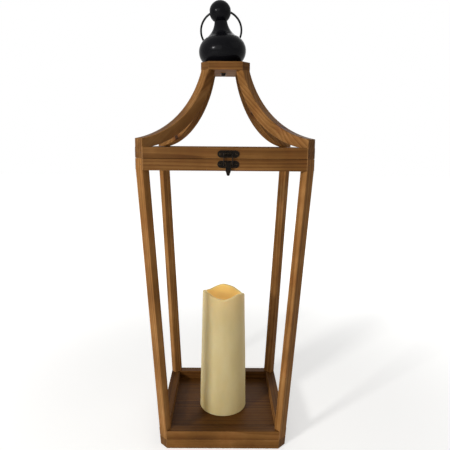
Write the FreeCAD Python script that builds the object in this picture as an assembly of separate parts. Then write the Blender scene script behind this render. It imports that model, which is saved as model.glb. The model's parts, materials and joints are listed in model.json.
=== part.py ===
import FreeCAD
import Part
import math
import os
from FreeCAD import Placement, Rotation, Vector

os.makedirs("parts", exist_ok=True)

# A wooden lantern with an LED candle inside. All sizes are in millimetres. The origin is at the middle
# of the underside, +Z is up, the latch faces -Y and the hinges face +Y.

# ---- Frame: a square plan with its four corners cut off, wider at the seam than at the floor ----
foot_half = 101.0            # half the width across the flats, at the floor
top_half = 125.0             # half the width across the flats, at the seam
corner_leg = 11.7            # how far each corner cut reaches along a side
base_thickness = 16.3
lower_rail_height = 15.2
upper_rail_height = 16.4
seam_height = 461.6          # where the lid meets the frame
rail_thickness = 15.2
post_depth = 11.6            # radial depth of the corner posts and of the struts' feet
arris = 0.9                  # rounding of the sanded long edges

# ---- Lid: a ring of rails, four curved struts and a small crown ----
seam_gap = 0.3
lid_rail_height = 15.3
strut_heel_height = 27.1     # the upright outer end of a strut, above the lid's underside
strut_toe_overlap = 3.0      # how far a strut's underside reaches in over the lid rails
strut_outer_radius = 158.0
strut_inner_radius = 155.0
strut_tip_depth = 13.8       # radial depth of a strut under the cap
crown_half = 37.5            # half the width of crown rails and cap across the flats
crown_rail_thickness = 12.0
crown_rail_height = 12.1
crown_height = 130.4         # from the lid's underside to the underside of the cap
cap_thickness = 12.1

# ---- Finial: one turned piece, seated a little off centre and leaning to the left ----
finial_shift = 3.2
finial_lean = 4.0            # degrees
finial_body_height = 20.7    # from the cap to the widest part
finial_belly_reach = 13.9    # radius at which the arc of the belly has its centre
finial_belly_radius = 23.3
finial_foot_radius = 26.0
finial_shoulder_angle = 60.0  # degrees above level, where belly turns into neck
finial_neck_height = 64.8
finial_neck_radius = 10.0
ball_radius = 16.9
ball_seat_radius = 8.5       # where the ball grows out of the neck
stud_radius = 3.0
stud_reach = 20.0            # how far the stud runs up into the finial
washer_radius = 8.0
washer_thickness = 1.2
nut_across_flats = 10.0
nut_height = 5.0
stud_tail = 2.5              # length of stud below the nut

# ---- Carrying ring through the ball ----
ring_radius = 32.4           # to the middle of the wire
ring_wire_radius = 1.6
ring_hole_clearance = 0.4
ring_rest_clearance = 0.3

# ---- Draw latch at the front ----
latch_offset = 4.5           # to the right of the middle
plate_width = 30.0
plate_height = 10.0
plate_thickness = 1.0
catch_plate_rise = 6.65      # middle of the lid's plate above the seam
lever_plate_drop = 7.2       # middle of the frame's plate below the seam
latch_screw_reach = 11.0     # screws to each side of a plate's middle
nose_width = 8.5
nose_depth = 2.4
nose_height = 4.5
nose_ledge_rise = 7.9        # top of the nose above the seam
lever_pivot_drop = 5.6
lever_pivot_reach = 3.1      # in front of the rails
lever_barrel_radius = 1.8
lever_width = 7.4
lever_thickness = 1.3
lever_tip_drop = 22.6        # lowest point of the lever below the seam
lever_tip_flare = 2.2        # how far the thumb tip bends outwards
lever_tip_radius = 2.2
ear_thickness = 1.0
ear_play = 0.2
latch_pin_radius = 0.8
bail_pivot_reach = 1.2       # in front of the lever's own pivot
bail_pivot_drop = 4.0        # below the lever's own pivot
bail_wire_radius = 0.8
bail_play = 0.3
bail_corner_radius = 2.2
bail_grip = 1.8              # length of wire inside the lever, each side
pin_fit = 0.05               # radial play of pins in their bores

# ---- Butt hinges at the rear ----
hinge_spacing = 130.0        # between the middles of the two hinges
hinge_width = 25.0
hinge_leaf_height = 11.0
hinge_leaf_thickness = 1.0
knuckle_radius = 2.0
knuckle_stand_off = 0.3      # between knuckles and wood
knuckle_gap = 0.3            # between neighbouring knuckles
hinge_pin_radius = 0.9
hinge_pin_head = 1.4
hinge_pin_head_length = 0.6
hinge_screw_reach = 8.0
hinge_screw_height = 7.0     # screws above or below the seam

# ---- Fasteners ----
wood_screw_radius = 1.75
wood_screw_head = 3.5
post_screw_bite = 26.0       # how far a screw from below goes into a post
rail_screw_bite = 11.0       # and into a lower rail
small_screw_radius = 1.0
small_screw_head = 1.9
small_screw_length = 9.0
brad_radius = 0.7
brad_length = 24.0
brad_spread = 4.2            # brads to each side of a corner's middle
cap_brad_length = 26.0
fastener_fit = 0.02          # radial gap between a fastener and its hole
slot_width = 0.25            # a driver slot, as a share of the head's radius
slot_depth = 0.3             # and its depth, as a share of the head's radius

# ---- LED candle ----
candle_gap = 0.3             # between candle and board
candle_foot_radius = 40.9
candle_top_radius = 36.4
candle_height = 212.9
candle_edge = 2.0            # rounding of the lower edge
rim_fall_right = 0.078       # the melted rim falls to the right, by this share
rim_rise_rear = 0.03         # and rises to the rear
rim_saddle = 0.00036         # and front and rear stand above the sides
wall_at_rim = 4.6
well_depth = 52.0
well_floor_radius = 26.0
well_floor_thickness = 6.0
light_hole_radius = 8.0
diffuser_thickness = 3.0
hollow_radius = 31.0
housing_radius = 35.0
housing_height = 23.0
housing_fit = 0.1
cell_radius = 7.25
cell_length = 49.5
cell_nub_radius = 2.75
cell_nub_length = 1.0
cell_play = 0.25
contact_thickness = 0.5
contact_boss = 1.0
cover_thickness = 2.0
cover_margin = 3.0
cover_play = 0.2
mast_radius = 6.0
mast_wall = 1.5
board_radius = 14.0
board_thickness = 1.6
led_radius = 2.5
led_length = 8.6
led_circle = 4.2
led_play = 0.4               # between the LEDs' tips and the diffuser
switch_length = 5.0
switch_width = 3.0
switch_travel = 4.0
switch_recess = 1.2          # knob below the housing's underside edge, so it never drags
switch_height = 4.0
switch_play = 0.2
switch_place = 25.5          # from the candle's middle towards the front

# ---- Heights and reaches that follow from the sizes above ----
taper_top = seam_height - upper_rail_height
lid_bottom = seam_height + seam_gap
lid_rail_top = lid_bottom + lid_rail_height
cap_bottom = lid_bottom + crown_height
cap_top = cap_bottom + cap_thickness
corner_width = corner_leg * math.sqrt(2.0)
top_reach = (2.0 * top_half - corner_leg) / math.sqrt(2.0)
crown_reach = (2.0 * crown_half - corner_leg) / math.sqrt(2.0)
corner_names = {"front_left": 225.0, "front_right": 315.0, "rear_right": 45.0, "rear_left": 135.0}
side_names = {"front": 270.0, "right": 0.0, "rear": 90.0, "left": 180.0}
beyond = 2.0 * top_half      # longer than anything it has to cut through


def half_width(height):
    """Half the width across the flats: it grows evenly up to the upper rails, then stays."""
    share = min(height, taper_top) / taper_top
    return foot_half + (top_half - foot_half) * share


def reach(height):
    """Distance from the axis to the outer face of a corner post, along the diagonal."""
    return (2.0 * half_width(height) - corner_leg) / math.sqrt(2.0)


def save(name, *solids):
    """One file per piece; a group of equal fasteners is one file with several solids."""
    shape = solids[0] if len(solids) == 1 else Part.makeCompound(list(solids))
    shape.exportStep("parts/" + name + ".step")


def turned(shape, angle):
    """The shape turned about the vertical axis."""
    copy = shape.copy()
    copy.rotate(Vector(0, 0, 0), Vector(0, 0, 1), angle)
    return copy


def moved(shape, x, y, z):
    copy = shape.copy()
    copy.translate(Vector(x, y, z))
    return copy


def profile_xz(edges_or_points, width):
    """A closed outline in the XZ plane, extruded along Y and centred on it."""
    if isinstance(edges_or_points[0], tuple):
        corners = [Vector(x, -width / 2.0, z) for x, z in edges_or_points]
        outline = Part.makePolygon(corners + corners[:1])
    else:
        outline = Part.Wire(edges_or_points)
        outline.translate(Vector(0, -width / 2.0, 0))
    return Part.Face(outline).extrude(Vector(0, width, 0))


def profile_yz(points, width):
    """A closed outline of straight runs in the YZ plane, extruded along X and centred on it."""
    corners = [Vector(-width / 2.0, y, z) for y, z in points]
    return Part.Face(Part.makePolygon(corners + corners[:1])).extrude(Vector(width, 0, 0))


def plan_prism(points, low, high):
    corners = [Vector(x, y, low) for x, y in points]
    return Part.Face(Part.makePolygon(corners + corners[:1])).extrude(Vector(0, 0, high - low))


def revolved(edges):
    """A closed outline in the XZ plane, turned once about the Z axis."""
    return Part.Face(Part.Wire(edges)).revolve(Vector(0, 0, 0), Vector(0, 0, 1), 360)


def stepped(points):
    """A turned piece from radius and height pairs, straight from each to the next."""
    corners = [Vector(r, 0, z) for r, z in points]
    return revolved(Part.makePolygon(corners + corners[:1]).Edges)


def rod(radius, length, start, direction):
    return Part.makeCylinder(radius, length, start, direction)


def arc_between(start, end, radius, bulge):
    """The short arc of this radius between two points of the XZ plane, bulging to the given side."""
    middle = (start + end) * 0.5
    chord = end - start
    across = Vector(-chord.z, 0, chord.x).normalize() * bulge
    rise = radius - math.sqrt(radius * radius - chord.Length * chord.Length / 4.0)
    return Part.Arc(start, middle + across * rise, end).toShape()


def line(start, end):
    return Part.LineSegment(start, end).toShape()


def octagon(half, leg, height):
    """The plan outline: a square of the given half width with its corners cut off."""
    near = half - leg
    plan = [(half, -near), (half, near), (near, half), (-near, half)]
    plan += [(-half, near), (-half, -near), (-near, -half), (near, -half)]
    corners = [Vector(x, y, height) for x, y in plan]
    return Part.makePolygon(corners + corners[:1])


def round_edges_along(solid, direction, radius):
    """Rounds the long edges that run within 10 degrees of the given direction."""
    chosen = []
    for edge in solid.Edges:
        run = edge.Vertexes[-1].Point - edge.Vertexes[0].Point
        if run.Length > 0 and abs(run.normalize().dot(direction)) > math.cos(math.radians(10)):
            chosen.append(edge)
    return solid.makeFillet(radius, chosen)


# ---- Fasteners: each is built pointing along -Z with its head's top face at the origin ----
def countersunk_screw(radius, head_radius, length):
    body = stepped([(0, 0), (head_radius, 0), (radius, radius - head_radius), (radius, radius - length),
                    (0, -length)])
    width = slot_width * head_radius
    depth = slot_depth * head_radius
    slot = Part.makeBox(3.0 * head_radius, width, depth, Vector(-1.5 * head_radius, -width / 2.0, -depth))
    return body.cut(slot)


def countersunk_hole(radius, head_radius, length):
    fit = fastener_fit
    return stepped([(0, 0), (head_radius + fit, 0), (radius + fit, radius - head_radius),
                    (radius + fit, radius - length), (0, -length - fit)])


def domed_screw(radius, head_radius, length):
    """A round head that stands on the plate, its underside at the origin."""
    height = 0.55 * head_radius
    dome = arc_between(Vector(head_radius, 0, 0), Vector(0, 0, height), 1.3 * head_radius, -1)
    edges = [dome, line(Vector(0, 0, height), Vector(0, 0, -length)),
             line(Vector(0, 0, -length), Vector(radius, 0, radius - length)),
             line(Vector(radius, 0, radius - length), Vector(radius, 0, 0)),
             line(Vector(radius, 0, 0), Vector(head_radius, 0, 0))]
    width = slot_width * head_radius
    slot = Part.makeBox(3.0 * head_radius, width, height, Vector(-1.5 * head_radius, -width / 2.0, height / 2.0))
    return revolved(edges).cut(slot)


def shank_hole(radius, length):
    return stepped([(0, 0), (radius + fastener_fit, 0), (radius + fastener_fit, radius - length),
                    (0, -length - fastener_fit)])


def brad(radius, length):
    return stepped([(0, 0), (radius, 0), (radius, radius - length), (0, -length)])


def aimed(shape, place, direction):
    """A fastener put with its head at a place, driven in the given direction."""
    copy = shape.copy()
    copy.Placement = Placement(place, Rotation(Vector(0, 0, -1), direction))
    return copy


def drilled(solid, hole, places):
    for place, direction in places:
        solid = solid.cut(aimed(hole, place, direction))
    return solid


down, up = Vector(0, 0, -1), Vector(0, 0, 1)
forward, backward = Vector(0, -1, 0), Vector(0, 1, 0)


def around(place, angle):
    return Rotation(up, angle).multVec(place)


# ---- Where the fasteners go ----
corners = list(corner_names.values())
sides = list(side_names.values())
post_screw_places = [(around(Vector(reach(base_thickness) - post_depth / 2.0, 0, 0), a), up) for a in corners]
rail_screw_places = [(around(Vector(foot_half - rail_thickness / 2.0, 0, 0), a), up) for a in sides]


def brad_places(height):
    """Two brads at each corner, driven level from the outer face towards the axis."""
    places = []
    for angle in corners:
        for offset in (-brad_spread, brad_spread):
            places.append((around(Vector(top_reach, offset, height), angle), around(Vector(-1, 0, 0), angle)))
    return places


frame_brad_places = brad_places(seam_height - upper_rail_height / 2.0)
lid_brad_places = brad_places(lid_bottom + lid_rail_height / 2.0)
cap_brad_reach = crown_reach - strut_tip_depth / 2.0
cap_brad_places = [(around(Vector(cap_brad_reach, 0, cap_top), a), down) for a in corners]
hinge_middles = (-hinge_spacing / 2.0, hinge_spacing / 2.0)
leaf_face = top_half + hinge_leaf_thickness


def hinge_screw_places(height):
    return [(Vector(middle + side * hinge_screw_reach, leaf_face, height), forward)
            for middle in hinge_middles for side in (-1, 1)]


frame_hinge_screws = hinge_screw_places(seam_height - hinge_screw_height)
lid_hinge_screws = hinge_screw_places(seam_height + hinge_screw_height)
latch_face = -(top_half + plate_thickness)


def latch_screw_places(height):
    return [(Vector(latch_offset + side * latch_screw_reach, latch_face, height), backward) for side in (-1, 1)]


catch_screws = latch_screw_places(seam_height + catch_plate_rise)
lever_plate_screws = latch_screw_places(seam_height - lever_plate_drop)

post_screw_size = (wood_screw_radius, wood_screw_head, base_thickness + post_screw_bite)
rail_screw_size = (wood_screw_radius, wood_screw_head, base_thickness + rail_screw_bite)
post_screw, post_screw_hole = countersunk_screw(*post_screw_size), countersunk_hole(*post_screw_size)
rail_screw, rail_screw_hole = countersunk_screw(*rail_screw_size), countersunk_hole(*rail_screw_size)
hinge_screw = countersunk_screw(small_screw_radius, small_screw_head, small_screw_length)
hinge_hole = countersunk_hole(small_screw_radius, small_screw_head, small_screw_length)
latch_screw = domed_screw(small_screw_radius, small_screw_head, small_screw_length)
latch_hole = shank_hole(small_screw_radius, small_screw_length)
frame_brad = brad(brad_radius, brad_length)
frame_brad_hole = shank_hole(brad_radius, brad_length)
cap_brad = brad(brad_radius, cap_brad_length)
cap_brad_hole = shank_hole(brad_radius, cap_brad_length)


# ---- Base board ----
board_edge = Part.makeLoft([octagon(half_width(0), corner_leg, 0),
                            octagon(half_width(base_thickness), corner_leg, base_thickness)], True, True)
level_edges = [e for e in board_edge.Edges if abs(e.Vertexes[0].Z - e.Vertexes[-1].Z) < 0.001]
base_board = drilled(board_edge.makeFillet(arris, level_edges), post_screw_hole, post_screw_places)
save("base_board", drilled(base_board, rail_screw_hole, rail_screw_places))
save("base_screws", *[aimed(post_screw, place, way) for place, way in post_screw_places],
     *[aimed(rail_screw, place, way) for place, way in rail_screw_places])


# ---- Corner posts: a flat strip set diagonally, leaning out, upright beside the upper rails ----
def corner_strip(low, high, outward):
    """The post's outline at a corner, its outer face pushed out by the given amount."""
    heights = [low, high]
    if low < taper_top < high:
        heights = [low, taper_top, high]
    outer = [(reach(z) + outward, z) for z in heights]
    inner = [(reach(z) - post_depth, z) for z in reversed(heights)]
    return profile_xz(outer + inner, corner_width)


post = corner_strip(base_thickness, seam_height, 0)
post = round_edges_along(post, up, arris)
for name, angle in corner_names.items():
    piece = drilled(turned(post, angle), post_screw_hole, post_screw_places)
    piece = drilled(piece, frame_brad_hole, frame_brad_places)
    save("post_" + name, piece)


# ---- Rings of rails: mitred to each other, notched round the corner strips ----
def ring_rail(low, high, notch):
    """One rail of a ring, facing +X: its outer face follows the taper."""
    outline = [(half_width(low), low), (half_width(high), high),
               (half_width(high) - rail_thickness, high), (half_width(low) - rail_thickness, low)]
    bar = round_edges_along(profile_xz(outline, beyond), backward, arris)
    bar = bar.common(plan_prism([(0, 0), (beyond, -beyond), (beyond, beyond)], low, high))
    return bar.cut(turned(notch, 45)).cut(turned(notch, -45))


lower_rail = ring_rail(base_thickness, base_thickness + lower_rail_height,
                       corner_strip(base_thickness, base_thickness + lower_rail_height, beyond))
upper_rail = ring_rail(taper_top, seam_height, corner_strip(taper_top, seam_height, beyond))
lid_notch = profile_xz([(top_reach - post_depth, lid_bottom), (beyond, lid_bottom),
                        (beyond, lid_rail_top), (top_reach - post_depth, lid_rail_top)], corner_width)
lid_rail = ring_rail(lid_bottom, lid_rail_top, lid_notch)

for name, angle in side_names.items():
    low_piece = drilled(turned(lower_rail, angle), rail_screw_hole, rail_screw_places)
    save("lower_rail_" + name, low_piece)
    high_piece = drilled(turned(upper_rail, angle), frame_brad_hole, frame_brad_places)
    lid_piece = drilled(turned(lid_rail, angle), frame_brad_hole, lid_brad_places)
    if name == "front":
        high_piece = drilled(high_piece, latch_hole, lever_plate_screws)
        lid_piece = drilled(lid_piece, latch_hole, catch_screws)
    if name == "rear":
        high_piece = drilled(high_piece, hinge_hole, frame_hinge_screws)
        lid_piece = drilled(lid_piece, hinge_hole, lid_hinge_screws)
    save("upper_rail_" + name, high_piece)
    save("lid_rail_" + name, lid_piece)
save("frame_brads", *[aimed(frame_brad, place, way) for place, way in frame_brad_places])


# ---- Curved struts: the foot stands in the lid ring's notch, the tip carries the cap ----
def arc_centre(start, end, radius, bulge):
    """Centre of the short arc that arc_between draws."""
    chord = end - start
    across = Vector(-chord.z, 0, chord.x).normalize() * bulge
    return (start + end) * 0.5 - across * math.sqrt(radius * radius - chord.Length * chord.Length / 4.0)


def make_strut():
    """A curved blade in the corner's upright plane, cut off at the lid rails, on a straight foot."""
    heel = Vector(top_reach, 0, lid_bottom + strut_heel_height)
    outer_tip = Vector(crown_reach, 0, cap_bottom)
    inner_tip = Vector(crown_reach - strut_tip_depth, 0, cap_bottom)
    toe = Vector(top_reach - post_depth - strut_toe_overlap, 0, lid_rail_top)
    centre = arc_centre(inner_tip, toe, strut_inner_radius, -1)
    dip = math.sqrt(max(strut_inner_radius ** 2 - (top_reach - centre.x) ** 2, 0.0))
    low_end = Vector(top_reach, 0, centre.z - dip)
    edges = [line(low_end, heel), arc_between(heel, outer_tip, strut_outer_radius, 1),
             line(outer_tip, inner_tip), Part.Arc(inner_tip, toe, low_end).toShape()]
    blade = profile_xz(edges, corner_width)
    level = [cap_bottom, low_end.z]
    long_edges = [e for e in blade.Edges if abs(e.Vertexes[0].Y - e.Vertexes[-1].Y) < 0.001
                  and not any(abs(e.Vertexes[0].Z - z) < 0.001 and abs(e.Vertexes[-1].Z - z) < 0.001 for z in level)]
    blade = blade.makeFillet(arris, long_edges)
    blade = blade.common(Part.makeBox(beyond, beyond, beyond, Vector(0, -beyond / 2.0, lid_rail_top)))
    foot = [(top_reach - post_depth, lid_bottom), (top_reach, lid_bottom),
            (top_reach, lid_rail_top), (top_reach - post_depth, lid_rail_top)]
    return blade.fuse(round_edges_along(profile_xz(foot, corner_width), up, arris)).removeSplitter()


strut = make_strut()
for name, angle in corner_names.items():
    piece = drilled(turned(strut, angle), frame_brad_hole, lid_brad_places)
    save("strut_" + name, drilled(piece, cap_brad_hole, cap_brad_places))
save("lid_brads", *[aimed(frame_brad, place, way) for place, way in lid_brad_places],
     *[aimed(cap_brad, place, way) for place, way in cap_brad_places])


# ---- Crown rails between the strut tips, and the cap on top ----
crown_inner = crown_half - crown_rail_thickness
crown_plan = [(crown_inner, corner_leg - crown_inner), (crown_half, corner_leg - crown_half),
              (crown_half, crown_half - corner_leg), (crown_inner, crown_inner - corner_leg)]
crown_rail = plan_prism(crown_plan, cap_bottom - crown_rail_height, cap_bottom)
crown_rail = round_edges_along(crown_rail, backward, arris)
for name, angle in side_names.items():
    save("crown_rail_" + name, turned(crown_rail, angle))

cap_blank = Part.makeLoft([octagon(crown_half, corner_leg, cap_bottom),
                           octagon(crown_half, corner_leg, cap_top)], True, True)
cap_edges = [e for e in cap_blank.Edges if abs(e.Vertexes[0].Z - e.Vertexes[-1].Z) < 0.001]
stud_hole = rod(stud_radius + pin_fit, cap_thickness, Vector(-finial_shift, 0, cap_bottom), up)
crown_cap = cap_blank.makeFillet(arris, cap_edges).cut(stud_hole)
save("crown_cap", drilled(crown_cap, cap_brad_hole, cap_brad_places))


# ---- Finial, turned about its own axis, then leaned and trimmed flat on the cap ----
ball_height = finial_neck_height + math.sqrt(ball_radius ** 2 - ball_seat_radius ** 2)
ring_sagitta = ring_radius - math.sqrt(ring_radius ** 2 - ball_radius ** 2)
ring_hole_radius = ring_sagitta / 2.0 + ring_wire_radius + ring_hole_clearance


def leaned(shape):
    """From the finial's own upright frame to its place: leaned to the left, on the cap, off centre."""
    copy = shape.copy()
    copy.rotate(Vector(0, 0, 0), Vector(0, 1, 0), -finial_lean)
    copy.translate(Vector(-finial_shift, 0, cap_top))
    return copy


def finial_outline():
    """Foot, belly arc, hollow neck arc tangent to the belly, neck lip and ball."""
    angle = math.radians(finial_shoulder_angle)
    centre = Vector(finial_belly_reach, 0, finial_body_height)
    outward = Vector(math.cos(angle), 0, math.sin(angle))
    shoulder = centre + outward * finial_belly_radius
    neck = Vector(finial_neck_radius, 0, finial_neck_height)
    span = neck - shoulder
    hollow_radius_of_neck = span.dot(span) / (2.0 * span.dot(outward))
    hollow_centre = shoulder + outward * hollow_radius_of_neck
    halfway = ((shoulder - hollow_centre) + (neck - hollow_centre)).normalize() * hollow_radius_of_neck
    below = -(cap_thickness + finial_foot_radius * math.tan(math.radians(finial_lean)))
    drop = math.sqrt(finial_belly_radius ** 2 - (finial_foot_radius - finial_belly_reach) ** 2)
    foot = Vector(finial_foot_radius, 0, finial_body_height - drop)
    side = Vector(finial_belly_reach + finial_belly_radius, 0, finial_body_height)
    seat = Vector(ball_seat_radius, 0, finial_neck_height)
    flank = Vector(ball_radius, 0, ball_height)
    top = Vector(0, 0, ball_height + ball_radius)
    return [line(Vector(0, 0, below), Vector(finial_foot_radius, 0, below)),
            line(Vector(finial_foot_radius, 0, below), foot),
            Part.Arc(foot, side, shoulder).toShape(),
            Part.Arc(shoulder, hollow_centre + halfway, neck).toShape(),
            line(neck, seat), Part.Arc(seat, flank, top).toShape(), line(top, Vector(0, 0, below))]


finial = leaned(revolved(finial_outline()))
finial = finial.common(Part.makeBox(beyond, beyond, beyond, Vector(-beyond / 2.0, -beyond / 2.0, cap_top)))
cross_hole = rod(ring_hole_radius, 4.0 * ball_radius, Vector(-2.0 * ball_radius, 0, ball_height), Vector(1, 0, 0))
stud_socket = rod(stud_radius + pin_fit, stud_reach, Vector(-finial_shift, 0, cap_top), up)
save("finial", finial.cut(leaned(cross_hole)).cut(stud_socket))

stud_bottom = cap_bottom - washer_thickness - nut_height - stud_tail
save("finial_stud", rod(stud_radius, cap_top + stud_reach - stud_bottom, Vector(-finial_shift, 0, stud_bottom), up))
washer = rod(washer_radius, washer_thickness, Vector(0, 0, 0), down)
washer = washer.cut(rod(stud_radius + pin_fit, washer_thickness, Vector(0, 0, 0), down))
save("finial_washer", moved(washer, -finial_shift, 0, cap_bottom))
nut_corner = nut_across_flats / math.sqrt(3.0)
nut_plan = [(nut_corner * math.cos(k * math.pi / 3), nut_corner * math.sin(k * math.pi / 3)) for k in range(6)]
nut = plan_prism(nut_plan, -nut_height, 0).cut(rod(stud_radius + pin_fit, nut_height, Vector(0, 0, 0), down))
save("finial_nut", moved(nut, -finial_shift, 0, cap_bottom - washer_thickness))


# ---- Carrying ring: it swings about the cross hole, and rests on the back of the belly ----
ring_drop = ring_radius - ring_sagitta / 2.0     # from the hole's axis to the ring's middle


def belly_radius_at(height):
    rise = height - finial_body_height
    return finial_belly_reach + math.sqrt(max(finial_belly_radius ** 2 - rise ** 2, 0.0))


def ring_swing_at_rest():
    """Smallest backward swing, in degrees, at which the ring's lowest point clears the belly."""
    swing = 0.0
    while swing < 90.0:
        angle = math.radians(swing)
        lowest = ring_drop + ring_radius
        y = lowest * math.sin(angle)
        z = ball_height - lowest * math.cos(angle)
        across = y - finial_belly_reach
        gap = math.hypot(across, z - finial_body_height) - finial_belly_radius - ring_wire_radius
        if across > 0 and gap > ring_rest_clearance:
            return swing
        swing += 0.1
    return swing


ring_swing = ring_swing_at_rest()
ring = Part.makeTorus(ring_radius, ring_wire_radius, Vector(0, 0, -ring_drop), Vector(0, 1, 0))
ring.rotate(Vector(0, 0, 0), Vector(1, 0, 0), ring_swing)
save("carrying_ring", leaned(moved(ring, 0, 0, ball_height)))


# ---- Draw latch, built about the point of the seam line in front of it ----
def latch_plate(middle_height):
    """A flat plate with round ends, lying on the front rails."""
    straight = plate_width - plate_height
    bar = Part.makeBox(straight, plate_thickness, plate_height,
                       Vector(-straight / 2.0, -plate_thickness, middle_height - plate_height / 2.0))
    for side in (-1, 1):
        end = rod(plate_height / 2.0, plate_thickness, Vector(side * straight / 2.0, 0, middle_height), forward)
        bar = bar.fuse(end)
    return bar.removeSplitter()


def at_latch(shape):
    return moved(shape, latch_offset, -top_half, seam_height)


nose_root = nose_ledge_rise - nose_height
nose_front = plate_thickness + nose_depth
nose = profile_yz([(0, nose_root), (-plate_thickness, nose_root), (-nose_front, nose_ledge_rise - nose_depth / 2.0),
                   (-nose_front, nose_ledge_rise), (0, nose_ledge_rise)], nose_width)
nose_ends = [e for e in nose.Edges if abs(e.Vertexes[0].Y - e.Vertexes[-1].Y) > 0.5 * nose_depth
             and abs(e.Vertexes[0].Z - e.Vertexes[-1].Z) > 0.2 * nose_height]
catch_plate = latch_plate(catch_plate_rise).fuse(nose.makeFillet(0.4 * nose_depth, nose_ends)).removeSplitter()
save("latch_catch_plate", drilled(at_latch(catch_plate), latch_hole, catch_screws))
save("latch_catch_screws", *[aimed(latch_screw, place, way) for place, way in catch_screws])

pivot = Vector(0, -lever_pivot_reach, -lever_pivot_drop)
bail_pivot = pivot + Vector(0, -bail_pivot_reach, -bail_pivot_drop)
ear_inside = lever_width / 2.0 + ear_play
across_ears = 2.0 * (ear_inside + ear_thickness)
pin_bore = rod(latch_pin_radius + pin_fit, beyond, pivot - Vector(beyond / 2.0, 0, 0), Vector(1, 0, 0))


def latch_ear(start):
    """An upright ear of the frame's plate, rounded about the lever's pivot."""
    tip = rod(lever_barrel_radius, ear_thickness, Vector(start, pivot.y, pivot.z), Vector(1, 0, 0))
    root = Part.makeBox(ear_thickness, lever_pivot_reach, 2.0 * lever_barrel_radius,
                        Vector(start, pivot.y, pivot.z - lever_barrel_radius))
    return tip.fuse(root)


lever_plate = latch_plate(-lever_plate_drop)
for start in (-ear_inside - ear_thickness, ear_inside):
    lever_plate = lever_plate.fuse(latch_ear(start))
lever_plate = lever_plate.removeSplitter().cut(pin_bore)
save("latch_base_plate", drilled(at_latch(lever_plate), latch_hole, lever_plate_screws))
save("latch_base_screws", *[aimed(latch_screw, place, way) for place, way in lever_plate_screws])
latch_pin = rod(latch_pin_radius, across_ears, pivot - Vector(across_ears / 2.0, 0, 0), Vector(1, 0, 0))
save("latch_pin", at_latch(latch_pin))


def lever_side():
    """The tongue seen from the side: down from the bail's pivot, bent outwards at the thumb tip."""
    top = bail_pivot.z
    tip = -lever_tip_drop
    inner = bail_pivot.y + lever_thickness / 2.0
    outer = bail_pivot.y - lever_thickness / 2.0
    bend = (top + tip) / 2.0
    half = (bend + tip) / 2.0
    dip = lever_tip_flare / 4.0
    inner_arc = Part.Arc(Vector(0, inner, bend), Vector(0, inner - dip, half), Vector(0, inner - lever_tip_flare, tip))
    outer_arc = Part.Arc(Vector(0, outer - lever_tip_flare, tip), Vector(0, outer - dip, half), Vector(0, outer, bend))
    return Part.Wire([line(Vector(0, inner, top), Vector(0, inner, bend)), inner_arc.toShape(),
                      line(Vector(0, inner - lever_tip_flare, tip), Vector(0, outer - lever_tip_flare, tip)),
                      outer_arc.toShape(), line(Vector(0, outer, bend), Vector(0, outer, top)),
                      line(Vector(0, outer, top), Vector(0, inner, top))])


def lever_front():
    """The tongue seen from the front: straight, then narrowing to a round tip."""
    half = lever_width / 2.0
    top = bail_pivot.z
    shoulder = (top - lever_tip_drop) / 2.0
    tip = -lever_tip_drop + lever_tip_radius
    left, right = Vector(-lever_tip_radius, 0, tip), Vector(lever_tip_radius, 0, tip)
    round_tip = Part.Arc(right, Vector(0, 0, -lever_tip_drop), left).toShape()
    edges = [line(Vector(-half, 0, top), Vector(half, 0, top)), line(Vector(half, 0, top), Vector(half, 0, shoulder)),
             line(Vector(half, 0, shoulder), right), round_tip, line(left, Vector(-half, 0, shoulder)),
             line(Vector(-half, 0, shoulder), Vector(-half, 0, top))]
    return profile_xz(edges, beyond)


def make_lever():
    boss_radius = bail_wire_radius + pin_fit + 0.5 * lever_thickness
    side = Vector(-lever_width / 2.0, 0, 0)
    barrel = rod(lever_barrel_radius, lever_width, pivot + side, Vector(1, 0, 0))
    boss = rod(boss_radius, lever_width, bail_pivot + side, Vector(1, 0, 0))
    run = (bail_pivot - pivot)
    across = Vector(0, -run.z, run.y).normalize()
    web_corners = [pivot + across * lever_barrel_radius, bail_pivot + across * boss_radius,
                   bail_pivot - across * boss_radius, pivot - across * lever_barrel_radius]
    web = profile_yz([(corner.y, corner.z) for corner in web_corners], lever_width)
    tongue = Part.Face(lever_side()).extrude(Vector(lever_width, 0, 0))
    tongue.translate(side)
    body = barrel.fuse([boss, web, tongue.common(lever_front())]).removeSplitter()
    bail_bore = rod(bail_wire_radius + pin_fit, beyond, bail_pivot - Vector(beyond / 2.0, 0, 0), Vector(1, 0, 0))
    return body.cut(pin_bore).cut(bail_bore)


save("latch_lever", at_latch(make_lever()))


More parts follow.
